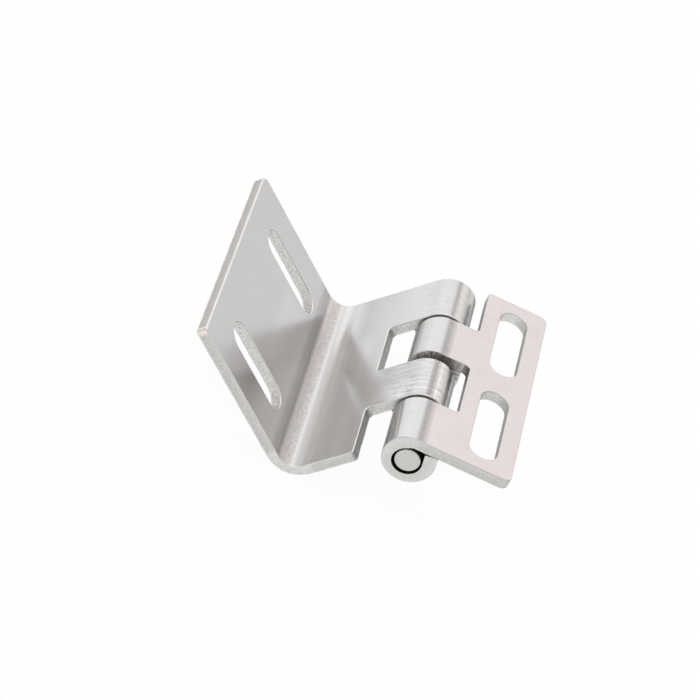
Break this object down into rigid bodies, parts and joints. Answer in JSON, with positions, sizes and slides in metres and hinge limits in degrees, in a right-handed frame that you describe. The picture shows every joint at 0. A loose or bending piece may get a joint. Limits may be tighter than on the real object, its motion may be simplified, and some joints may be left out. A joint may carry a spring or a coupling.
{
  "type": "cranked slotted butt hinge",
  "caption": "Rolled-eye sheet-metal hinge with a flat slotted leaf and an L-shaped bracket leaf with an adjusting-slot flange, turning on a plain pin.",
  "frame": {"origin": "centre of the flat leaf's slot pattern, on the leaf's smooth outer face", "axes": "+Z is the outward normal of the flat leaf's outer face, +Y runs along the pin towards the end where the bracket leaf has its outer eye, +X points from the pin to the flat leaf's free edge; the bracket hangs on the -X side"},
  "size_m": [0.0718, 0.061, 0.0254],
  "materials": {
    "leaf_sheet": "satin, fine grain",
    "bracket_sheet": "satin, fine grain",
    "pin_rod": "turned end faces"
  },
  "bodies": {
    "flat_side": {"flat_leaf": "leaf_sheet"},
    "bracket_side": {"bracket_leaf": "bracket_sheet", "hinge_pin": "pin_rod"}
  },
  "joints": [
    {"name": "hinge_turn", "type": "hinge", "parent": "flat_side", "child": "bracket_side", "pos_m": [-0.01375, 0, -0.00575], "axis": [0, 1, 0], "range_deg": [-147, 150]}
  ]
}
